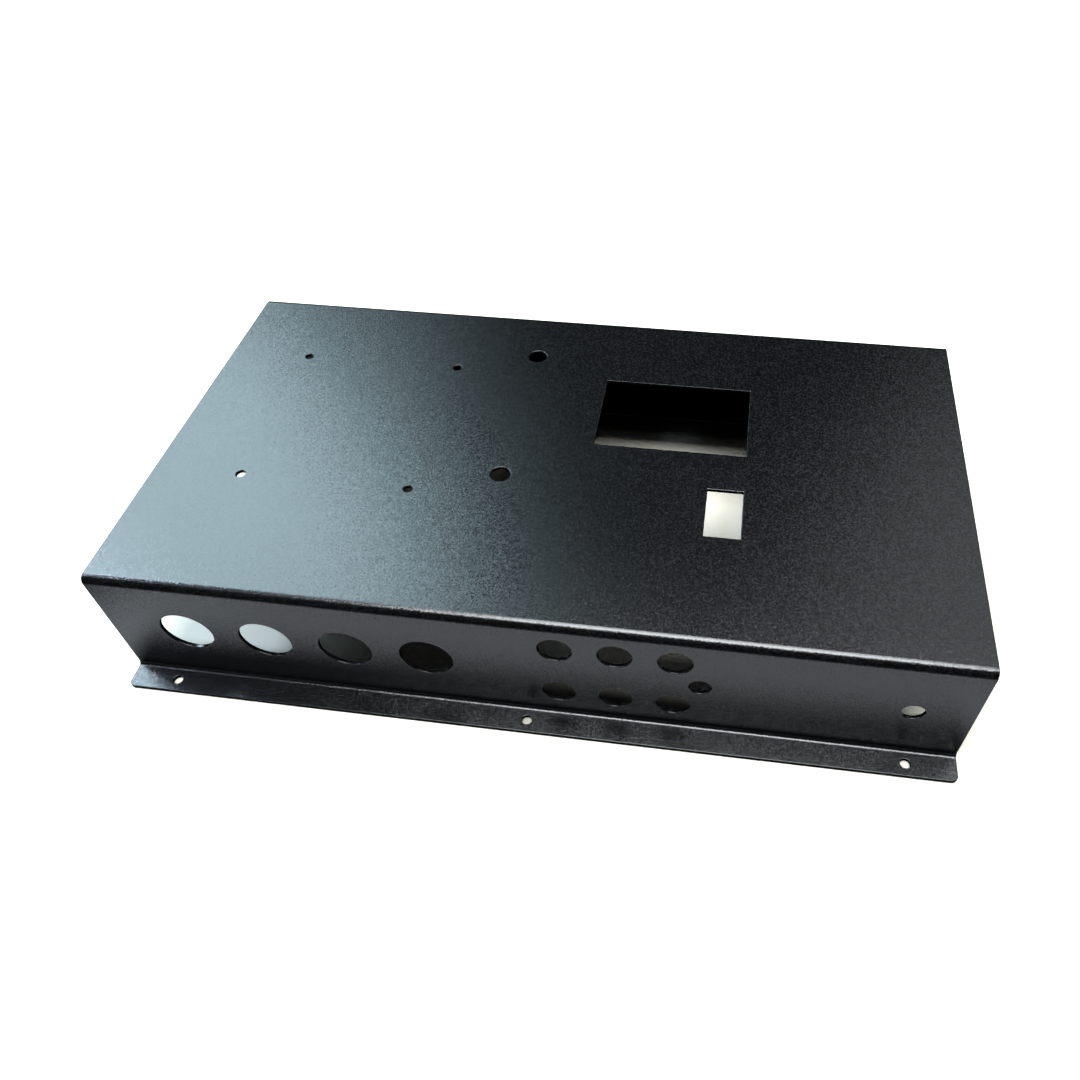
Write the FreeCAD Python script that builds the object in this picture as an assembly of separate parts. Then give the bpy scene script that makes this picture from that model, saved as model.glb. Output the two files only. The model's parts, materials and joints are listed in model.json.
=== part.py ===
import FreeCAD, Part
import math
import os

# A sheet metal chassis folded from one blank: a top plate, two upright walls and an outward
# flange along the foot of each wall.  Both ends are open.
#
# Frame: millimetres, +Z up, origin on the standing plane under the middle of the chassis,
# +X along the folds, front wall towards -Y.

# ---- sheet and folds ---------------------------------------------------------------------
CHASSIS_LENGTH = 300.0            # along the folds, cut end to cut end
CHASSIS_DEPTH = 165.0             # outer face of the front wall to outer face of the back wall
CHASSIS_HEIGHT = 52.0             # underside of the flanges to the top face
SHEET_THICKNESS = 1.5
BEND_RADIUS = 1.5                 # inside radius of all four folds
FLANGE_WIDTH = 10.0               # outer face of a wall to the free edge of its flange
FLANGE_CORNER_RADIUS = 2.5        # free corners of the flanges

# ---- front wall: places along X are from the left end -------------------------------------
PANEL_HOLE_DIAMETER = 18.8
PANEL_HOLE_COUNT = 4
PANEL_HOLE_PITCH = 29.1
FIRST_PANEL_HOLE_FROM_LEFT = 28.5
PANEL_ROW_ABOVE_MIDDLE = 0.4      # centre line of the row above the middle of the wall

SOCKET_HOLE_DIAMETER = 11.7
SOCKET_COLUMNS = 3
SOCKET_COLUMN_PITCH = 20.0
FIRST_SOCKET_COLUMN_FROM_LEFT = 161.5
UPPER_SOCKET_ROW_BELOW_TOP = 12.6
LOWER_SOCKET_ROW_HEIGHT = 14.4    # above the standing plane

LAMP_HOLE_DIAMETER = 7.7
LAMP_HOLE_BESIDE_SOCKETS = 8.7    # right of the last column of sockets
LAMP_HOLE_ABOVE_MIDDLE = 0.6

INLET_HOLE_DIAMETER = 7.8
INLET_HOLE_FROM_RIGHT = 20.0      # from the right end
INLET_HOLE_BELOW_MIDDLE = 0.2

# ---- top plate: places along X are from the left end, places along Y from the back wall ----
BOARD_SCREW_HOLE_DIAMETER = 3.5
BOARD_SCREW_SPACING_X = 64.2
BOARD_SCREW_SPACING_Y = 71.2
BOARD_FIRST_SCREW_FROM_LEFT = 33.8
BOARD_FIRST_SCREW_FROM_BACK = 39.0

WIRE_HOLE_DIAMETER = 7.6
WIRE_HOLE_SPACING = 71.0
WIRE_HOLES_FROM_LEFT = 129.8
FIRST_WIRE_HOLE_FROM_BACK = 27.6

LARGE_WINDOW_WIDTH = 57.8
LARGE_WINDOW_DEPTH = 38.3
LARGE_WINDOW_FROM_BACK = 39.85
SMALL_WINDOW_WIDTH = 13.0
SMALL_WINDOW_DEPTH = 22.85
SMALL_WINDOW_FROM_BACK = 96.85
WINDOWS_LEFT_EDGE = 161.5         # left edge of the large window
                                  # the small window shares the large one's right edge

# ---- flanges -----------------------------------------------------------------------------
FLANGE_HOLE_DIAMETER = 3.5
FLANGE_HOLE_INSET = 17.5          # from each end; one more hole stands half way
FLANGE_HOLE_FROM_WALL = 5.3       # from the outer face of the wall

# ---- places that follow from the sizes above ----------------------------------------------
LEFT = -CHASSIS_LENGTH / 2
RIGHT = CHASSIS_LENGTH / 2
FRONT = -CHASSIS_DEPTH / 2        # outer face of the front wall
BACK = CHASSIS_DEPTH / 2          # outer face of the back wall
WALL_MIDDLE = CHASSIS_HEIGHT / 2
TOP_UNDERSIDE = CHASSIS_HEIGHT - SHEET_THICKNESS
PUNCH_OVERRUN = SHEET_THICKNESS   # how far a punch passes the sheet on each side


def rounded_path(corners, radii):
    """Line and arc edges from the first corner to the last, each inner corner turned on its radius."""
    edges = []
    start = corners[0]
    for before, corner, after, radius in zip(corners, corners[1:], corners[2:], radii):
        arriving = (corner - before).normalize()
        leaving = (after - corner).normalize()
        half_turn = arriving.getAngle(leaving) / 2
        towards_centre = (leaving - arriving).normalize()
        arc_start = corner - arriving * (radius * math.tan(half_turn))
        arc_middle = corner + towards_centre * (radius / math.cos(half_turn) - radius)
        arc_end = corner + leaving * (radius * math.tan(half_turn))
        edges.append(Part.LineSegment(start, arc_start).toShape())
        edges.append(Part.Arc(arc_start, arc_middle, arc_end).toShape())
        start = arc_end
    edges.append(Part.LineSegment(start, corners[-1]).toShape())
    return edges


def section_corners(inset, foot_height):
    """Corners of one side of the bent sheet, front flange to back flange, in the left end plane.

    inset is how far that side lies inside the outer faces of the walls and the top, and
    foot_height is its height along the flanges.
    """
    front_wall = FRONT + inset
    back_wall = BACK - inset
    top = CHASSIS_HEIGHT - inset
    return [
        FreeCAD.Vector(LEFT, FRONT - FLANGE_WIDTH, foot_height),
        FreeCAD.Vector(LEFT, front_wall, foot_height),
        FreeCAD.Vector(LEFT, front_wall, top),
        FreeCAD.Vector(LEFT, back_wall, top),
        FreeCAD.Vector(LEFT, back_wall, foot_height),
        FreeCAD.Vector(LEFT, BACK + FLANGE_WIDTH, foot_height),
    ]


def folded_sheet():
    """The blank after its four folds, before any hole: the bent section drawn out along X."""
    tight = BEND_RADIUS
    wide = BEND_RADIUS + SHEET_THICKNESS
    outer_corners = section_corners(0.0, SHEET_THICKNESS)
    under_corners = section_corners(SHEET_THICKNESS, 0.0)
    outer_side = rounded_path(outer_corners, [tight, wide, wide, tight])
    under_side = rounded_path(under_corners, [wide, tight, tight, wide])
    front_edge = Part.LineSegment(under_corners[0], outer_corners[0]).toShape()
    back_edge = Part.LineSegment(outer_corners[-1], under_corners[-1]).toShape()
    outline = Part.Wire(Part.__sortEdges__([front_edge, back_edge] + outer_side + under_side))
    return Part.Face(outline).extrude(FreeCAD.Vector(CHASSIS_LENGTH, 0, 0))


def round_flange_corners(sheet):
    """The four free corners of the flanges, rounded in plan."""
    free_edge = CHASSIS_DEPTH / 2 + FLANGE_WIDTH
    corners = []
    for edge in sheet.Edges:
        middle = edge.BoundBox.Center
        upright = edge.BoundBox.ZLength > SHEET_THICKNESS / 2
        at_end = math.isclose(abs(middle.x), RIGHT)
        at_free_edge = math.isclose(abs(middle.y), free_edge)
        if upright and at_end and at_free_edge:
            corners.append(edge)
    return sheet.makeFillet(FLANGE_CORNER_RADIUS, corners)


def wall_punch(x, z, diameter):
    """A round punch through the front wall."""
    foot = FreeCAD.Vector(x, FRONT - PUNCH_OVERRUN, z)
    length = SHEET_THICKNESS + 2 * PUNCH_OVERRUN
    return Part.makeCylinder(diameter / 2, length, foot, FreeCAD.Vector(0, 1, 0))


def level_punch(x, y, under_face, diameter):
    """A round punch through a level stretch of sheet whose underside is at under_face."""
    foot = FreeCAD.Vector(x, y, under_face - PUNCH_OVERRUN)
    length = SHEET_THICKNESS + 2 * PUNCH_OVERRUN
    return Part.makeCylinder(diameter / 2, length, foot, FreeCAD.Vector(0, 0, 1))


def window_punch(right_edge, back_edge, width, depth):
    """A square-cornered punch through the top plate, placed by its right and back edges."""
    height = SHEET_THICKNESS + 2 * PUNCH_OVERRUN
    bottom = TOP_UNDERSIDE - PUNCH_OVERRUN
    corner = FreeCAD.Vector(right_edge - width, back_edge - depth, bottom)
    return Part.makeBox(width, depth, height, corner)


def panel_punches():
    """The row of large round holes at the left of the front wall."""
    first = LEFT + FIRST_PANEL_HOLE_FROM_LEFT
    height = WALL_MIDDLE + PANEL_ROW_ABOVE_MIDDLE
    return [
        wall_punch(first + column * PANEL_HOLE_PITCH, height, PANEL_HOLE_DIAMETER)
        for column in range(PANEL_HOLE_COUNT)
    ]


def socket_columns():
    """Places along X of the socket holes, left to right."""
    first = LEFT + FIRST_SOCKET_COLUMN_FROM_LEFT
    return [first + column * SOCKET_COLUMN_PITCH for column in range(SOCKET_COLUMNS)]


def socket_punches():
    """Two rows of socket holes, one below the top fold and one above the foot fold."""
    rows = (LOWER_SOCKET_ROW_HEIGHT, CHASSIS_HEIGHT - UPPER_SOCKET_ROW_BELOW_TOP)
    return [wall_punch(x, z, SOCKET_HOLE_DIAMETER) for z in rows for x in socket_columns()]


def lamp_punch():
    """The small hole beside the sockets."""
    x = socket_columns()[-1] + LAMP_HOLE_BESIDE_SOCKETS
    return wall_punch(x, WALL_MIDDLE + LAMP_HOLE_ABOVE_MIDDLE, LAMP_HOLE_DIAMETER)


def inlet_punch():
    """The hole near the right end."""
    x = RIGHT - INLET_HOLE_FROM_RIGHT
    return wall_punch(x, WALL_MIDDLE - INLET_HOLE_BELOW_MIDDLE, INLET_HOLE_DIAMETER)


def board_screw_punches():
    """Four screw holes at the corners of the circuit board that hangs under the top plate."""
    first_x = LEFT + BOARD_FIRST_SCREW_FROM_LEFT
    first_y = BACK - BOARD_FIRST_SCREW_FROM_BACK
    return [
        level_punch(x, y, TOP_UNDERSIDE, BOARD_SCREW_HOLE_DIAMETER)
        for x in (first_x, first_x + BOARD_SCREW_SPACING_X)
        for y in (first_y, first_y - BOARD_SCREW_SPACING_Y)
    ]


def wire_punches():
    """Two holes for wires, one behind the other, beside the board."""
    first_y = BACK - FIRST_WIRE_HOLE_FROM_BACK
    return [
        level_punch(LEFT + WIRE_HOLES_FROM_LEFT, y, TOP_UNDERSIDE, WIRE_HOLE_DIAMETER)
        for y in (first_y, first_y - WIRE_HOLE_SPACING)
    ]


def window_punches():
    """The large window and the small one in front of it, their right edges in one line."""
    right_edge = LEFT + WINDOWS_LEFT_EDGE + LARGE_WINDOW_WIDTH
    return [
        window_punch(right_edge, BACK - LARGE_WINDOW_FROM_BACK, LARGE_WINDOW_WIDTH, LARGE_WINDOW_DEPTH),
        window_punch(right_edge, BACK - SMALL_WINDOW_FROM_BACK, SMALL_WINDOW_WIDTH, SMALL_WINDOW_DEPTH),
    ]


def flange_punches():
    """Three fixing holes in each flange, near both ends and half way."""
    places_x = (LEFT + FLANGE_HOLE_INSET, (LEFT + RIGHT) / 2, RIGHT - FLANGE_HOLE_INSET)
    places_y = (FRONT - FLANGE_HOLE_FROM_WALL, BACK + FLANGE_HOLE_FROM_WALL)
    return [level_punch(x, y, 0.0, FLANGE_HOLE_DIAMETER) for x in places_x for y in places_y]


def chassis():
    """The folded sheet with every hole and window punched."""
    sheet = round_flange_corners(folded_sheet())
    punches = (
        panel_punches()
        + socket_punches()
        + [lamp_punch(), inlet_punch()]
        + board_screw_punches()
        + wire_punches()
        + window_punches()
        + flange_punches()
    )
    return sheet.cut(punches)


def main():
    """Write the chassis to parts/, the one piece that the part is made of."""
    os.makedirs("parts", exist_ok=True)
    punched = chassis()
    if not punched.isValid() or len(punched.Solids) != 1:
        raise ValueError("the punched sheet is not one sound solid")
    solid = punched.Solids[0]
    solid.exportStep("parts/chassis.step")
    print("chassis: volume", round(solid.Volume, 1), "mm3, box", solid.BoundBox)


main()
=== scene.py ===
"""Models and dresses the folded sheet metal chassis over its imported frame, in metres.

The frame gives the box of the sheet, and the record gives the place and size of every hole, so
this script only adds what the frame leaves plain: rounded coated edges, smooth folds and the
fine-texture finish.  +X runs along the folds, the front wall faces -Y, and the flanges stand
on z = 0.
"""

import json
import logging
import math
from dataclasses import dataclass, field
from enum import Enum
from typing import Any, Callable, Iterable

import bpy
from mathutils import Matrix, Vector


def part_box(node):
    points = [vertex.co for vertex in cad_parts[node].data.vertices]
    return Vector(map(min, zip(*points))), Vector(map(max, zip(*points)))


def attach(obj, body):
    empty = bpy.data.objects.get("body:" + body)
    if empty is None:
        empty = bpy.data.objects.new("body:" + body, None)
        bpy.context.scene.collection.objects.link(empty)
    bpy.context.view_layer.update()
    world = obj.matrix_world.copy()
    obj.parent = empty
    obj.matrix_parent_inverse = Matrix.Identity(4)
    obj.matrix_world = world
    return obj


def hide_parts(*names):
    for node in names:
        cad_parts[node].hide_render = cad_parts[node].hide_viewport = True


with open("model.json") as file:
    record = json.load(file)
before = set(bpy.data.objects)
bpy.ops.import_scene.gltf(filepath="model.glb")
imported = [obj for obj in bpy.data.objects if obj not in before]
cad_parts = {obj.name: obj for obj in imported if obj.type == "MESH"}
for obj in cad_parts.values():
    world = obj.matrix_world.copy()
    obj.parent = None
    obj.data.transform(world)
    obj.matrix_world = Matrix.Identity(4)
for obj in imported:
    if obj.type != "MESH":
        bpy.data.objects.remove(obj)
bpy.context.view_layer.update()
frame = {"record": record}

LOG = logging.getLogger("chassis")

MILLIMETRE = 0.001
SAME_PLACE = 1e-6
SAME_POINT = 1e-7
Colour = tuple[float, float, float]
BLACK: Colour = (0.0, 0.0, 0.0)
NEAR_WHITE: Colour = (1.0, 1.0, 0.99)


# ---- editing helpers ------------------------------------------------------------------------


def deselect_all() -> None:
    """Leaves object mode and selects nothing."""
    if bpy.context.object is not None and bpy.context.object.mode != "OBJECT":
        bpy.ops.object.mode_set(mode="OBJECT")
    bpy.ops.object.select_all(action="DESELECT")


def pick(*objects: bpy.types.Object) -> None:
    """Selects only these objects and makes the first one active.

    Args:
        objects: The objects to select.
    """
    deselect_all()
    for obj in objects:
        obj.select_set(True)
    bpy.context.view_layer.objects.active = objects[0]


def select_edges(obj: bpy.types.Object, wanted: Callable[[Vector, Vector], bool]) -> None:
    """Selects the edges of a mesh whose two ends pass a test, and goes into edit mode.

    Args:
        obj: The active mesh object.
        wanted: Says of an edge's two end points whether the edge is taken.
    """
    bpy.ops.object.mode_set(mode="EDIT")
    bpy.ops.mesh.select_mode(type="EDGE")
    bpy.ops.mesh.select_all(action="DESELECT")
    bpy.ops.object.mode_set(mode="OBJECT")
    mesh = obj.data
    for edge in mesh.edges:
        first, second = (mesh.vertices[i].co for i in edge.vertices)
        if wanted(first, second):
            edge.select = True
    bpy.ops.object.mode_set(mode="EDIT")


def merge_points(obj: bpy.types.Object, reach: float) -> None:
    """Merges the points of a mesh that lie on one another.

    Args:
        obj: The mesh object, which becomes the active one.
        reach: How far apart they may lie.
    """
    pick(obj)
    bpy.ops.object.mode_set(mode="EDIT")
    bpy.ops.mesh.select_all(action="SELECT")
    bpy.ops.mesh.remove_doubles(threshold=reach)
    bpy.ops.object.mode_set(mode="OBJECT")


def face_outwards(obj: bpy.types.Object) -> None:
    """Turns every face of a mesh to point the same way, outwards on a closed one.

    Args:
        obj: The mesh object, which becomes the active one.
    """
    pick(obj)
    bpy.ops.object.mode_set(mode="EDIT")
    bpy.ops.mesh.select_all(action="SELECT")
    bpy.ops.mesh.normals_make_consistent(inside=False)
    bpy.ops.object.mode_set(mode="OBJECT")


def apply_modifier(obj: bpy.types.Object, kind: str, **settings: Any) -> None:
    """Adds a modifier, sets it and applies it.

    Args:
        obj: The mesh object, which becomes the active one.
        kind: The modifier's type.
        settings: Its properties.
    """
    pick(obj)
    modifier = obj.modifiers.new(kind.lower(), kind)
    for name, value in settings.items():
        setattr(modifier, name, value)
    bpy.ops.object.modifier_apply(modifier=modifier.name)


# ---- what the record says about the holes ---------------------------------------------------


class Facing(Enum):
    """Which way the sheet stands where a punch goes through it."""

    WALL = "wall"
    LEVEL = "level"


@dataclass(frozen=True)
class PunchedHoles:
    """Round holes of one size, punched through one face of the sheet."""

    facing: Facing
    radius: float
    places: tuple[Vector, ...]


@dataclass(frozen=True)
class CutWindow:
    """A rectangular cut through the top plate, by the corners of its outline."""

    lowest: Vector
    highest: Vector


@dataclass(frozen=True)
class HoleSchedule:
    """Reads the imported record's mounts and openings as punches."""

    record: dict[str, Any]
    window_clearance: float = 0.1 * MILLIMETRE

    def mount(self, name: str) -> dict[str, Any]:
        """Returns the record's mount of this name."""
        return next(mount for mount in self.record["mounts"] if mount["name"] == name)

    def punched(self, name: str) -> PunchedHoles:
        """Works out where the holes of one mount are.

        Args:
            name: The mount's name in the record.

        Returns:
            The holes, with their centres on the mount's plane.
        """
        mount = self.mount(name)
        dims = mount["dims"]
        centre = Vector(mount["pos_m"])
        outwards = Vector(mount["axis"])
        facing = Facing.WALL if abs(outwards.y) > abs(outwards.z) else Facing.LEVEL
        across = Vector((dims.get("spacing_x_mm", 0.0) / 2 * MILLIMETRE, 0.0, 0.0))
        half = dims.get("spacing_y_mm", 0.0) / 2 * MILLIMETRE
        along = Vector((0.0, 0.0, half)) if facing is Facing.WALL else Vector((0.0, half, 0.0))
        places = tuple(
            centre + across * side + along * end
            for side in ((-1, 1) if across.length else (0,))
            for end in ((-1, 1) if along.length else (0,))
        )
        radius = dims.get("hole_r_mm", dims.get("r_mm")) * MILLIMETRE
        return PunchedHoles(facing, radius, places)

    def window(self, name: str) -> CutWindow:
        """Works out the outline of the window round one clear opening.

        Args:
            name: The opening's name in the record.

        Returns:
            The window, a clearance larger than the opening on each side.
        """
        openings = self.record["physics"]["openings"]
        opening = next(opening for opening in openings if opening["name"] == name)
        margin = Vector((self.window_clearance, self.window_clearance, 0.0))
        lowest, highest = (Vector(corner) for corner in opening["box_m"])
        return CutWindow(lowest - margin, highest + margin)


# ---- the sheet ------------------------------------------------------------------------------


@dataclass
class FoldedSheet:
    """The chassis: one blank with two walls folded down and a flange folded out along each foot.

    Holes wider than a screw's are punched with more sides.
    """

    lowest: Vector
    highest: Vector
    wall_face: float
    thickness: float
    round_holes: tuple[PunchedHoles, ...]
    windows: tuple[CutWindow, ...]
    inner_fold: float = 1.5 * MILLIMETRE
    fold_segments: int = 16
    flange_corner: float = 2.5 * MILLIMETRE
    corner_segments: int = 10
    coated_edge: float = 0.28 * MILLIMETRE
    edge_segments: int = 3
    edge_angle: float = math.radians(40)
    screw_radius: float = 2.5 * MILLIMETRE
    screw_sides: int = 64
    hole_sides: int = 96
    punch_thicknesses: float = 6.0
    name: str = "chassis_sheet"
    piece: bpy.types.Object = field(init=False)

    def build(self) -> bpy.types.Object:
        """Folds, thickens, punches and finishes the sheet.

        Returns:
            The finished mesh object, at the origin.
        """
        self.lay_top_skin()
        self.fold_side(-1)
        self.fold_side(1)
        self.round_folds()
        self.thicken()
        self.round_flange_corners()
        self.punch()
        self.soften_edges()
        return self.piece

    def lay_top_skin(self) -> None:
        """Lays the upper skin of the top plate, as wide as the walls' outer faces."""
        deselect_all()
        bpy.ops.mesh.primitive_plane_add(size=1.0, location=(0.0, 0.0, self.highest.z))
        self.piece = bpy.context.object
        self.piece.name = self.name
        self.piece.data.name = self.name
        length = self.highest.x - self.lowest.x
        bpy.ops.transform.resize(value=(length, 2 * abs(self.wall_face), 1.0))
        bpy.ops.object.transform_apply(location=True, rotation=True, scale=True)

    def fold_side(self, side: int) -> None:
        """Extrudes one wall down and its flange out.

        Args:
            side: -1 for the front, 1 for the back.
        """
        pick(self.piece)
        wall = side * abs(self.wall_face)
        top = self.highest.z
        foot = self.lowest.z + self.thickness
        select_edges(
            self.piece,
            lambda a, b: all(
                abs(end.y - wall) < SAME_PLACE and abs(end.z - top) < SAME_PLACE
                for end in (a, b)
            ),
        )
        bpy.ops.mesh.extrude_region_move(
            TRANSFORM_OT_translate={"value": (0.0, 0.0, foot - top)}
        )
        reach = self.highest.y - abs(self.wall_face)
        bpy.ops.mesh.extrude_region_move(
            TRANSFORM_OT_translate={"value": (0.0, side * reach, 0.0)}
        )
        face_outwards(self.piece)

    def round_folds(self) -> None:
        """Turns the two top corners and the two foot corners on their radii."""
        outer = self.inner_fold + self.thickness
        wall = abs(self.wall_face)
        levels = (
            (self.highest.z, outer),
            (self.lowest.z + self.thickness, self.inner_fold),
        )
        for level, radius in levels:
            pick(self.piece)
            select_edges(
                self.piece,
                lambda a, b, z=level: all(
                    abs(abs(end.y) - wall) < SAME_PLACE and abs(end.z - z) < SAME_PLACE
                    for end in (a, b)
                ),
            )
            bpy.ops.mesh.bevel(offset=radius, segments=self.fold_segments, affect="EDGES")
            bpy.ops.object.mode_set(mode="OBJECT")

    def thicken(self) -> None:
        """Gives the skin the thickness of the sheet, towards the inside."""
        top = max(self.piece.data.polygons, key=lambda face: face.area)
        inwards = -1.0 if top.normal.z > 0 else 1.0
        apply_modifier(
            self.piece,
            "SOLIDIFY",
            thickness=self.thickness,
            offset=inwards,
            use_even_offset=True,
            use_rim=True,
        )
        merge_points(self.piece, SAME_POINT)
        face_outwards(self.piece)

    def round_flange_corners(self) -> None:
        """Rounds the four free corners of the flanges in plan."""
        pick(self.piece)
        side, free = self.highest.x, self.highest.y
        select_edges(
            self.piece,
            lambda a, b: abs(a.z - b.z) > self.thickness / 2
            and all(
                abs(abs(end.x) - side) < SAME_PLACE and abs(abs(end.y) - free) < SAME_PLACE
                for end in (a, b)
            ),
        )
        bpy.ops.mesh.bevel(
            offset=self.flange_corner, segments=self.corner_segments, affect="EDGES"
        )
        bpy.ops.object.mode_set(mode="OBJECT")

    def round_punch(self, holes: PunchedHoles) -> list[bpy.types.Object]:
        """Makes one punch of the holes' size and copies it to each place.

        Args:
            holes: The holes to punch.

        Returns:
            The punches.
        """
        deselect_all()
        turned = (math.pi / 2, 0.0, 0.0) if holes.facing is Facing.WALL else (0.0, 0.0, 0.0)
        bpy.ops.mesh.primitive_cylinder_add(
            vertices=self.hole_sides if holes.radius > self.screw_radius else self.screw_sides,
            radius=holes.radius,
            depth=self.punch_thicknesses * self.thickness,
            location=holes.places[0],
            rotation=turned,
        )
        punches = [bpy.context.object]
        for place in holes.places[1:]:
            pick(punches[0])
            bpy.ops.object.duplicate(linked=False)
            bpy.ops.transform.translate(value=place - holes.places[0])
            punches.append(bpy.context.object)
        return punches

    def window_punch(self, window: CutWindow) -> bpy.types.Object:
        """Makes the square punch of a window.

        Args:
            window: The window's outline.

        Returns:
            The punch.
        """
        deselect_all()
        middle = (window.lowest + window.highest) / 2
        middle.z = self.highest.z - self.thickness / 2
        bpy.ops.mesh.primitive_cube_add(size=1.0, location=middle)
        punch = bpy.context.object
        span = window.highest - window.lowest
        bpy.ops.transform.resize(
            value=(span.x, span.y, self.punch_thicknesses * self.thickness)
        )
        bpy.ops.object.transform_apply(location=False, rotation=False, scale=True)
        return punch

    def punch(self) -> None:
        """Cuts every hole and window through the sheet in one go."""
        punches = [punch for holes in self.round_holes for punch in self.round_punch(holes)]
        punches += [self.window_punch(window) for window in self.windows]
        pick(*punches)
        bpy.ops.object.join()
        tool = bpy.context.object
        apply_modifier(
            self.piece, "BOOLEAN", operation="DIFFERENCE", solver="EXACT", object=tool
        )
        pick(tool)
        bpy.ops.object.delete()

    def soften_edges(self) -> None:
        """Rounds every cut edge as the baked coat does, and shades the sheet smooth."""
        merge_points(self.piece, SAME_PLACE)
        bpy.ops.object.shade_smooth()
        apply_modifier(
            self.piece,
            "BEVEL",
            width=self.coated_edge,
            segments=self.edge_segments,
            limit_method="ANGLE",
            angle_limit=self.edge_angle,
            use_clamp_overlap=True,
            harden_normals=False,
        )
        apply_modifier(self.piece, "WEIGHTED_NORMAL", mode="FACE_AREA", keep_sharp=False)


# ---- finishes -------------------------------------------------------------------------------


@dataclass
class NodeBoard:
    """A node tree that nodes are added to and wired in."""

    tree: bpy.types.NodeTree

    def add(self, kind: str, **settings: Any) -> bpy.types.Node:
        """Adds a node.

        Args:
            kind: The node's type.
            settings: Its properties.

        Returns:
            The new node.
        """
        node = self.tree.nodes.new(kind)
        for name, value in settings.items():
            setattr(node, name, value)
        return node

    def wire(self, source: bpy.types.NodeSocket, target: bpy.types.NodeSocket) -> None:
        """Joins an output to an input."""
        self.tree.links.new(source, target)

    def feed(self, target: bpy.types.NodeSocket, given: Any) -> None:
        """Gives an input its value.

        Args:
            target: The input.
            given: The output it reads, or a plain value, where a colour has three parts.
        """
        if isinstance(given, bpy.types.NodeSocket):
            self.wire(given, target)
        elif target.type == "RGBA":
            target.default_value = (*given, 1.0)
        else:
            target.default_value = given

    def value(self, operation: str, *inputs: float | bpy.types.NodeSocket) -> bpy.types.NodeSocket:
        """Adds a Math node.

        Args:
            operation: What it does.
            inputs: Numbers or outputs of other nodes.

        Returns:
            Its output.
        """
        node = self.add("ShaderNodeMath", operation=operation)
        for socket, given in zip(node.inputs, inputs):
            self.feed(socket, given)
        return node.outputs["Value"]

    def vector(
        self, operation: str, first: bpy.types.NodeSocket, second: Any
    ) -> bpy.types.NodeSocket:
        """Adds a Vector Math node.

        Args:
            operation: What it does.
            first: The vector it works on.
            second: The other vector, or the factor of a SCALE.

        Returns:
            Its output.
        """
        node = self.add("ShaderNodeVectorMath", operation=operation)
        self.wire(first, node.inputs[0])
        self.feed(node.inputs["Scale"] if operation == "SCALE" else node.inputs[1], second)
        return node.outputs["Vector"]

    def blend(self, share: bpy.types.NodeSocket, first: Any, second: Any) -> bpy.types.NodeSocket:
        """Adds a colour mix.

        Args:
            share: How much of the second colour there is.
            first: The colour at 0.
            second: The colour at 1.

        Returns:
            The mixed colour.
        """
        node = self.add("ShaderNodeMix", data_type="RGBA")
        ends = [socket for socket in node.inputs if socket.type == "RGBA"]
        self.wire(share, node.inputs[0])
        self.feed(ends[0], first)
        self.feed(ends[1], second)
        return next(socket for socket in node.outputs if socket.type == "RGBA")

    def for_camera(
        self,
        plain: bpy.types.NodeSocket,
        seen: bpy.types.NodeSocket,
        surface: bpy.types.NodeSocket,
    ) -> None:
        """Shows one shader to the camera and another to everything else.

        Args:
            plain: The shader that lights the object and is mirrored in it.
            seen: The shader that the camera sees.
            surface: The input that takes the two.
        """
        mix = self.add("ShaderNodeMixShader")
        self.wire(self.add("ShaderNodeLightPath").outputs["Is Camera Ray"], mix.inputs[0])
        self.wire(plain, mix.inputs[1])
        self.wire(seen, mix.inputs[2])
        self.wire(mix.outputs["Shader"], surface)

    def ramp(
        self,
        source: bpy.types.NodeSocket,
        low: float,
        high: float,
        to_low: float = 0.0,
        to_high: float = 1.0,
    ) -> bpy.types.NodeSocket:
        """Adds a smooth step from one range to another.

        Args:
            source: The value that is read.
            low: Where the step starts.
            high: Where it ends.
            to_low: What it gives below the step.
            to_high: What it gives above it.

        Returns:
            The stepped value.
        """
        node = self.add("ShaderNodeMapRange", interpolation_type="SMOOTHSTEP")
        self.wire(source, node.inputs["Value"])
        for name, given in (
            ("From Min", low),
            ("From Max", high),
            ("To Min", to_low),
            ("To Max", to_high),
        ):
            node.inputs[name].default_value = given
        return node.outputs["Result"]

    def noise(
        self,
        place: bpy.types.NodeSocket,
        scale: float | bpy.types.NodeSocket,
        detail: float,
    ) -> bpy.types.Node:
        """Adds a noise pattern.

        Args:
            place: The coordinates it is laid on.
            scale: Features in each metre.
            detail: How many octaves it has.

        Returns:
            The noise node, whose outputs run from about 0 to 1.
        """
        node = self.add("ShaderNodeTexNoise")
        self.wire(place, node.inputs["Vector"])
        self.feed(node.inputs["Scale"], scale)
        node.inputs["Detail"].default_value = detail
        return node


def new_group(
    name: str,
    inputs: Iterable[tuple[str, str, float | None]],
    outputs: Iterable[tuple[str, str]],
) -> tuple[bpy.types.NodeTree, NodeBoard, bpy.types.Node, bpy.types.Node]:
    """Starts a shader node group.

    Args:
        name: The group's name.
        inputs: Name, socket type and default of each input, None where it is always wired.
        outputs: Name and socket type of each output.

    Returns:
        The tree, its board, and the nodes that bring its inputs in and take its outputs out.
    """
    tree = bpy.data.node_groups.new(name, "ShaderNodeTree")
    for label, kind, default in inputs:
        socket = tree.interface.new_socket(name=label, in_out="INPUT", socket_type=kind)
        if default is not None:
            socket.default_value = default
    for label, kind in outputs:
        tree.interface.new_socket(name=label, in_out="OUTPUT", socket_type=kind)
    board = NodeBoard(tree)
    return tree, board, board.add("NodeGroupInput"), board.add("NodeGroupOutput")


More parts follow.
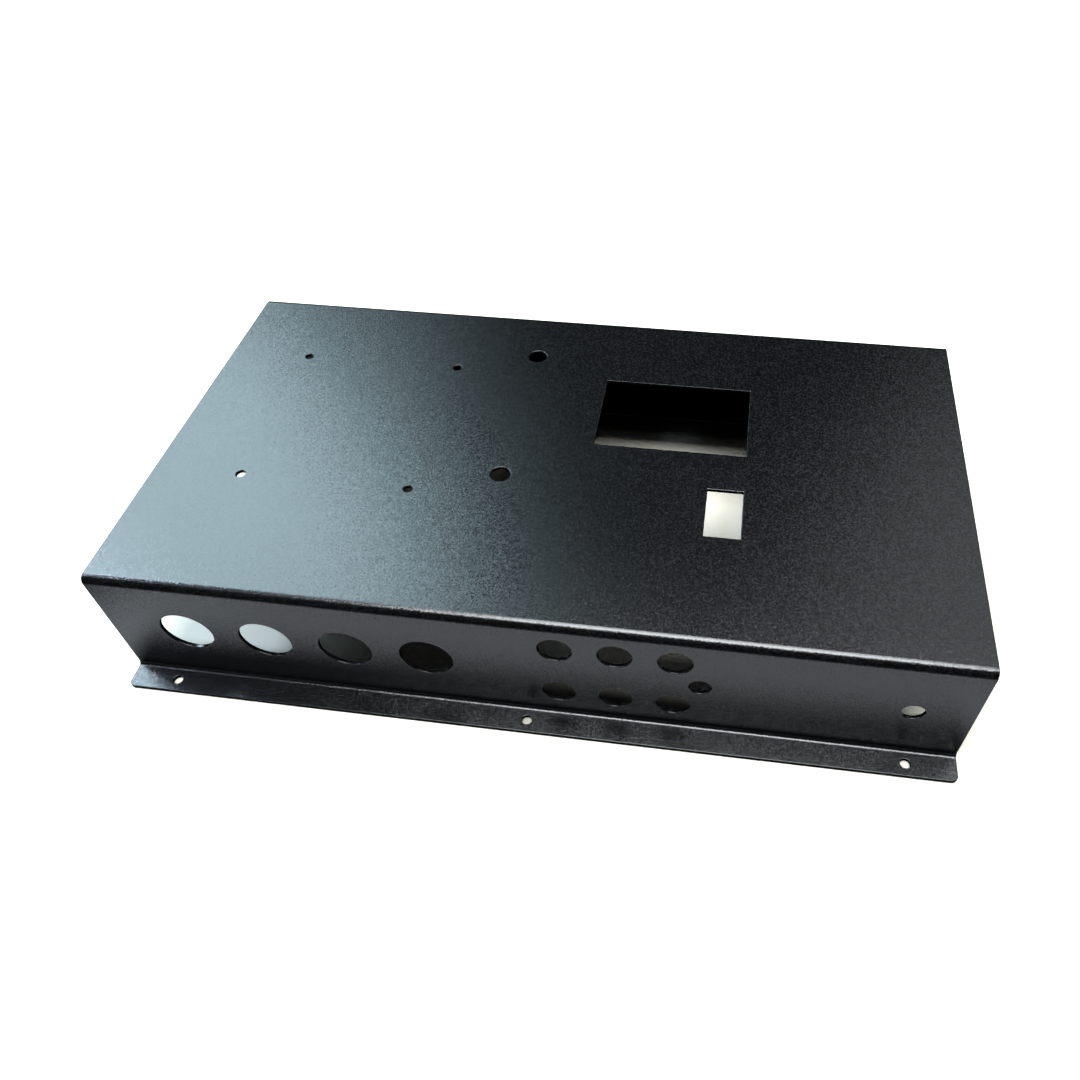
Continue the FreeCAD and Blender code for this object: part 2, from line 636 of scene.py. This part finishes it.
def coat_grain_group() -> bpy.types.NodeTree:
    """Builds the fine pebbled grain of a baked powder coat, in two sizes.

    Returns:
        A group that gives the surface normal tipped by each grain, and a mask that picks some
        grains at random to be coloured lighter.
    """
    noise_middle = (0.5, 0.5, 0.5)
    light_grain_levels = (0.5, 0.66)
    tree, board, given, out = new_group(
        "coat_grain",
        (
            ("Place", "NodeSocketVector", None),
            ("Normal", "NodeSocketVector", None),
            ("Grains per metre", "NodeSocketFloat", 1550.0),
            ("Tilt", "NodeSocketFloat", 0.12),
            ("Powder per metre", "NodeSocketFloat", 5500.0),
            ("Powder tilt", "NodeSocketFloat", 0.36),
        ),
        (("Normal", "NodeSocketVector"), ("Grains", "NodeSocketFloat")),
    )

    def tip(
        normal: bpy.types.NodeSocket, pebbles: bpy.types.Node, tilt: str
    ) -> bpy.types.NodeSocket:
        """Returns the normal tipped at random by each pebble."""
        lean = board.vector("SUBTRACT", pebbles.outputs["Color"], noise_middle)
        return board.vector("ADD", normal, board.vector("SCALE", lean, given.outputs[tilt]))

    place = given.outputs["Place"]
    grains = board.noise(place, given.outputs["Grains per metre"], 0.0)
    powder = board.noise(place, given.outputs["Powder per metre"], 0.0)
    tipped = tip(tip(given.outputs["Normal"], grains, "Tilt"), powder, "Powder tilt")
    unit = board.add("ShaderNodeVectorMath", operation="NORMALIZE")
    board.wire(tipped, unit.inputs[0])
    board.wire(unit.outputs["Vector"], out.inputs["Normal"])
    board.wire(board.ramp(grains.outputs["Fac"], *light_grain_levels), out.inputs["Grains"])
    return tree


def dust_group() -> bpy.types.NodeTree:
    """Builds sparse pale specks of dust and lint on a surface.

    Returns:
        A group that gives a mask of the specks.
    """
    speck_edge = (0.02, 0.07)
    tree, board, given, out = new_group(
        "dust_specks",
        (
            ("Place", "NodeSocketVector", None),
            ("Cells per metre", "NodeSocketFloat", 260.0),
            ("Specks", "NodeSocketFloat", 0.015),
        ),
        (("Mask", "NodeSocketFloat"),),
    )
    cells = board.add("ShaderNodeTexVoronoi", feature="F1")
    board.wire(given.outputs["Place"], cells.inputs["Vector"])
    board.wire(given.outputs["Cells per metre"], cells.inputs["Scale"])
    near = board.ramp(cells.outputs["Distance"], *speck_edge, 1.0, 0.0)
    lot = board.add("ShaderNodeSeparateColor")
    board.wire(cells.outputs["Color"], lot.inputs["Color"])
    chosen = board.value("LESS_THAN", lot.outputs["Red"], given.outputs["Specks"])
    board.wire(board.value("MULTIPLY", near, chosen), out.inputs["Mask"])
    return tree


@dataclass(frozen=True)
class PowderCoat:
    """Fine-texture satin powder coat, near black."""

    grain: bpy.types.NodeTree
    dust: bpy.types.NodeTree
    name: str = "powder_coat"
    dark_grain: Colour = (0.0018, 0.0019, 0.0020)
    light_grain: Colour = (0.012, 0.0133, 0.0142)
    speck: Colour = (0.09, 0.092, 0.092)
    grains_per_metre: float = 1550.0
    grain_tilt: float = 0.12
    powder_per_metre: float = 5500.0
    powder_tilt: float = 0.36
    dust_cells_per_metre: float = 260.0
    dusty_share: float = 0.015
    patches_per_metre: float = 18.0
    patch_detail: float = 2.0
    patch_levels: tuple[float, float] = (0.3, 0.7)
    patch_roughness: tuple[float, float] = (0.18, 0.20)
    foot_levels: tuple[float, float] = (2.0 * MILLIMETRE, 5.0 * MILLIMETRE)
    foot_roughness: float = 0.22
    gloss: float = 0.9
    refraction: float = 1.6

    def make(self) -> bpy.types.Material:
        """Builds the material.

        Returns:
            The material.
        """
        material = bpy.data.materials.new(self.name)
        material.use_nodes = True
        board = NodeBoard(material.node_tree)
        shader = material.node_tree.nodes["Principled BSDF"]
        place = board.add("ShaderNodeTexCoord").outputs["Object"]

        grain = board.add("ShaderNodeGroup", node_tree=self.grain)
        dust = board.add("ShaderNodeGroup", node_tree=self.dust)
        face = board.add("ShaderNodeNewGeometry").outputs["Normal"]
        for target, given in (
            (grain.inputs["Place"], place),
            (grain.inputs["Normal"], face),
            (grain.inputs["Grains per metre"], self.grains_per_metre),
            (grain.inputs["Tilt"], self.grain_tilt),
            (grain.inputs["Powder per metre"], self.powder_per_metre),
            (grain.inputs["Powder tilt"], self.powder_tilt),
            (dust.inputs["Place"], place),
            (dust.inputs["Cells per metre"], self.dust_cells_per_metre),
            (dust.inputs["Specks"], self.dusty_share),
        ):
            board.feed(target, given)

        # darker and lighter grain colours, laid at random by the grain noise
        tone = board.blend(grain.outputs["Grains"], self.dark_grain, self.light_grain)
        dusted = board.blend(dust.outputs["Mask"], tone, self.speck)
        board.wire(dusted, shader.inputs["Base Color"])
        board.wire(self.roughness(board, place), shader.inputs["Roughness"])
        board.wire(grain.outputs["Normal"], shader.inputs["Normal"])
        shader.inputs["IOR"].default_value = self.refraction
        shader.inputs["Specular IOR Level"].default_value = self.gloss
        return material

    def roughness(self, board: NodeBoard, place: bpy.types.NodeSocket) -> bpy.types.NodeSocket:
        """Varies the sheen in slow patches, and dulls it along the feet of the walls.

        Args:
            board: The board of the coat's material.
            place: The coordinates on the sheet.

        Returns:
            The roughness.
        """
        patches = board.noise(place, self.patches_per_metre, self.patch_detail)
        sheen = board.ramp(patches.outputs["Fac"], *self.patch_levels, *self.patch_roughness)
        height = board.add("ShaderNodeSeparateXYZ")
        board.wire(place, height.inputs["Vector"])
        foot = board.ramp(height.outputs["Z"], *self.foot_levels, self.foot_roughness, 0.0)
        return board.value("MAXIMUM", sheen, foot)


@dataclass(frozen=True)
class StudioFloor:
    """A matt floor whose tone, where the object mirrors it, has a painted contact shadow and a
    painted falloff of light away from the object; lifted to white where the camera sees it, with a
    painted shadow under the object.

    Each pair of distances is where a step starts and ends, measured outwards from the edge of
    the footprint, so that a place under the object has a negative distance.
    """

    footprint: tuple[float, float]
    size: float = 2.4
    drop: float = 0.2 * MILLIMETRE
    tone: Colour = (0.44, 0.435, 0.435)
    # painted contact shadow and painted falloff of light, in the tone the object mirrors
    painted_contact_shadow: tuple[float, float] = (-2.0 * MILLIMETRE, 14.0 * MILLIMETRE)
    painted_light_falloff: tuple[float, float] = (12.0 * MILLIMETRE, 75.0 * MILLIMETRE)
    falloff_far_share: float = 0.03
    seen_tone: Colour = (1.42, 1.36, 1.17)
    # painted shadow on the floor the camera sees: along the walls' feet and under the flanges,
    # fading out towards the open ends
    wall_shade: tuple[float, float] = (-25.0 * MILLIMETRE, -18.0 * MILLIMETRE)
    wall_share: float = 0.15
    flange_shade: tuple[float, float] = (-12.0 * MILLIMETRE, -9.0 * MILLIMETRE)
    flange_share: float = 0.5
    flange_edge: tuple[float, float] = (-2.0 * MILLIMETRE, 0.0)
    end_shade: tuple[float, float] = (-70.0 * MILLIMETRE, 0.0)

    def make(self) -> bpy.types.Object:
        """Lays the floor under the object and dresses it.

        Returns:
            The floor.
        """
        deselect_all()
        bpy.ops.mesh.primitive_plane_add(size=self.size, location=(0.0, 0.0, -self.drop))
        floor = bpy.context.object
        floor.name = "floor"
        bpy.ops.object.transform_apply(location=True, rotation=True, scale=True)
        floor.data.materials.append(self.dress())
        return floor

    def gaps(self, board: NodeBoard) -> list[bpy.types.NodeSocket]:
        """Measures how far a place on the floor lies beyond the object's sides.

        Args:
            board: The board of the floor's material.

        Returns:
            The distances beyond the ends and beyond the flanges, negative under the object.
        """
        place = board.add("ShaderNodeSeparateXYZ")
        board.wire(board.add("ShaderNodeTexCoord").outputs["Object"], place.inputs["Vector"])
        return [
            board.value("SUBTRACT", board.value("ABSOLUTE", place.outputs[axis]), half)
            for axis, half in zip("XY", self.footprint)
        ]

    def outwards(
        self, board: NodeBoard, beside: list[bpy.types.NodeSocket]
    ) -> bpy.types.NodeSocket:
        """Measures how far a place on the floor lies outside the object's footprint.

        Args:
            board: The board of the floor's material.
            beside: The distances beyond the object's sides.

        Returns:
            The distance, negative under the object.
        """
        clear = [board.value("MAXIMUM", gap, 0.0) for gap in beside]
        squares = [board.value("MULTIPLY", gap, gap) for gap in clear]
        outside = board.value("SQRT", board.value("ADD", *squares))
        inside = board.value("MINIMUM", board.value("MAXIMUM", *beside), 0.0)
        return board.value("ADD", outside, inside)

    def shadow_under(
        self, board: NodeBoard, beside: list[bpy.types.NodeSocket]
    ) -> bpy.types.NodeSocket:
        """Paints a deeper shadow along the foot of each wall and under the flanges, lifted again
        towards the open ends.

        Args:
            board: The board of the floor's material.
            beside: The distances beyond the object's sides.

        Returns:
            The share of the tone that is left, 1 outside the object.
        """
        past_end, past_flange = beside
        share = board.ramp(past_flange, *self.wall_shade, 1.0, self.wall_share)
        for shade, left in ((self.flange_shade, self.flange_share), (self.flange_edge, 1.0)):
            share = board.value("MAXIMUM", share, board.ramp(past_flange, *shade, 0.0, left))
        return board.value("MAXIMUM", share, board.ramp(past_end, *self.end_shade, 0.0, 1.0))

    def dress(self) -> bpy.types.Material:
        """Builds the floor's material: a matt tone with a painted contact shadow and a painted
        falloff of light, and a lifted tone for the camera only, with a painted shadow under the
        object.

        Returns:
            The material.
        """
        material = bpy.data.materials.new("studio_floor")
        material.use_nodes = True
        board = NodeBoard(material.node_tree)
        nodes = material.node_tree.nodes
        nodes.remove(nodes["Principled BSDF"])
        beside = self.gaps(board)
        distance = self.outwards(board, beside)
        # painted contact shadow: the floor goes dark next to the object where the object mirrors
        # it
        near = board.ramp(distance, *self.painted_contact_shadow)
        # painted falloff of light: the floor darkens away from the object where the object mirrors
        # it
        painted_falloff = board.ramp(distance, *self.painted_light_falloff, 1.0, self.falloff_far_share)
        plain = board.add("ShaderNodeBsdfDiffuse")
        lifted = board.add("ShaderNodeBsdfDiffuse")
        for matt, share, tone in (
            (plain, board.value("MULTIPLY", near, painted_falloff), self.tone),
            (lifted, self.shadow_under(board, beside), self.seen_tone),
        ):
            board.wire(board.blend(share, BLACK, tone), matt.inputs["Color"])
        board.for_camera(
            plain.outputs["BSDF"],
            lifted.outputs["BSDF"],
            nodes["Material Output"].inputs["Surface"],
        )
        return material


# ---- studio ---------------------------------------------------------------------------------


@dataclass(frozen=True)
class SoftBox:
    """A rectangular soft light, hung by its direction from the object.

    Azimuth 0 is behind the object and 90 is to its left.  An elevation above 90 leans towards
    the front.  The directions and the two widths seen from the object are in degrees.
    """

    name: str
    azimuth: float
    elevation: float
    distance: float
    across: float
    upright: float
    radiance: float
    colour: Colour
    aim: tuple[float, float, float] = (0.0, 0.0, 0.03)

    def make(self) -> bpy.types.Object:
        """Hangs the light.

        Returns:
            The light's object.
        """
        turn = math.radians(self.azimuth)
        rise = math.radians(self.elevation)
        outwards = Vector(
            (
                -math.sin(turn) * math.cos(rise),
                math.cos(turn) * math.cos(rise),
                math.sin(rise),
            )
        )
        deselect_all()
        bpy.ops.object.light_add(
            type="AREA",
            location=Vector(self.aim) + outwards * self.distance,
            rotation=(rise - math.pi / 2, 0.0, turn),
        )
        lamp = bpy.context.object
        lamp.name = self.name
        width, height = (
            2 * self.distance * math.tan(math.radians(angle / 2))
            for angle in (self.across, self.upright)
        )
        lamp.data.shape = "RECTANGLE"
        lamp.data.size = width
        lamp.data.size_y = height
        lamp.data.energy = self.radiance * math.pi * width * height
        lamp.data.color = self.colour
        return lamp


@dataclass(frozen=True)
class Studio:
    """The lights, the surroundings and the camera.

    The camera's turn is in degrees, and its lens and sensor are in millimetres.
    """

    boxes: tuple[SoftBox, ...]
    surroundings: Colour = (0.012, 0.012, 0.013)
    camera_place: tuple[float, float, float] = (0.05855, -0.24317, 0.28241)
    camera_turn: tuple[float, float, float] = (40.875, 0.714, 7.788)
    lens: float = 29.68
    sensor_width: float = 36.0
    shift: tuple[float, float] = (-0.0744, 0.0066)
    nearest: float = 0.01

    def make(self) -> None:
        """Sets up the lights, the world and the camera."""
        for box in self.boxes:
            box.make()
        self.make_world()
        self.make_camera()

    def make_world(self) -> None:
        """Makes dim surroundings that look white only to the camera."""
        world = bpy.data.worlds.new("surroundings")
        bpy.context.scene.world = world
        world.use_nodes = True
        board = NodeBoard(world.node_tree)
        nodes = world.node_tree.nodes
        dim = nodes["Background"]
        dim.inputs["Color"].default_value = (*self.surroundings, 1.0)
        white = board.add("ShaderNodeBackground")
        white.inputs["Color"].default_value = (*NEAR_WHITE, 1.0)
        board.for_camera(
            dim.outputs["Background"],
            white.outputs["Background"],
            nodes["World Output"].inputs["Surface"],
        )

    def make_camera(self) -> None:
        """Places the camera in front of the right half of the chassis, looking down on it."""
        deselect_all()
        bpy.ops.object.camera_add(location=self.camera_place)
        camera = bpy.context.object
        camera.name = "camera"
        camera.rotation_euler = tuple(math.radians(angle) for angle in self.camera_turn)
        camera.data.lens = self.lens
        camera.data.sensor_width = self.sensor_width
        camera.data.shift_x, camera.data.shift_y = self.shift
        camera.data.clip_start = self.nearest
        bpy.context.scene.camera = camera


def soft_boxes() -> tuple[SoftBox, ...]:
    """Sets out the studio's lights.

    Returns:
        Two cool boxes behind and left, a low one left, two overhead and a weak one right.
    """
    cool = (0.66, 0.90, 1.0)
    blue = (0.68, 0.80, 1.0)
    pale = (0.93, 0.97, 1.0)
    over = (0.095, -0.05, 0.03)
    return (
        SoftBox("left_back_softbox", 52.0, 41.0, 2.0, 27.0, 33.0, 4.3, cool),
        SoftBox("back_softbox", 32.0, 41.5, 2.0, 13.0, 30.0, 1.1, cool),
        SoftBox("left_softbox", 85.0, 41.0, 2.0, 34.0, 8.0, 20.0, blue),
        SoftBox("overhead_back_softbox", 0.0, 81.0, 1.2, 44.0, 23.0, 5.6, pale, over),
        SoftBox("overhead_front_softbox", 0.0, 101.5, 1.2, 44.0, 18.5, 9.6, pale, over),
        SoftBox("right_softbox", -43.0, 46.0, 2.0, 36.0, 26.0, 0.55, pale),
    )


# ---- making ---------------------------------------------------------------------------------


def make_sheet() -> FoldedSheet:
    """Reads the frame's sizes and the record's holes, and folds the sheet.

    Returns:
        The built sub-assembly.
    """
    schedule = HoleSchedule(frame["record"])
    lowest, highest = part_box("chassis")
    sheet = FoldedSheet(
        lowest=lowest,
        highest=highest,
        wall_face=schedule.mount("front_face")["pos_m"][1],
        thickness=schedule.mount("lamp_hole")["dims"]["length_mm"] * MILLIMETRE,
        round_holes=tuple(
            schedule.punched(name)
            for name in (
                "outer_panel_holes",
                "inner_panel_holes",
                "socket_corner_holes",
                "socket_middle_holes",
                "lamp_hole",
                "inlet_hole",
                "board_screw_holes",
                "wire_holes",
                "flange_corner_holes",
                "flange_middle_holes",
            )
        ),
        windows=(schedule.window("large_window"), schedule.window("small_window")),
    )
    sheet.build()
    return sheet


def main() -> None:
    """Builds the chassis, dresses it and sets the studio up round it."""
    logging.basicConfig(level=logging.INFO, format="%(name)s: %(message)s")
    coat = PowderCoat(coat_grain_group(), dust_group()).make()
    sheet = make_sheet()
    piece = sheet.piece
    piece.data.materials.clear()
    piece.data.materials.append(coat)
    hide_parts("chassis")
    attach(piece, "root")
    LOG.info("%s: %d faces", piece.name, len(piece.data.polygons))

    floor = StudioFloor((sheet.highest.x, sheet.highest.y)).make()
    LOG.info("%s laid", floor.name)
    Studio(soft_boxes()).make()
    bpy.context.scene.view_settings.view_transform = "Standard"


if __name__ == "__main__":
    main()
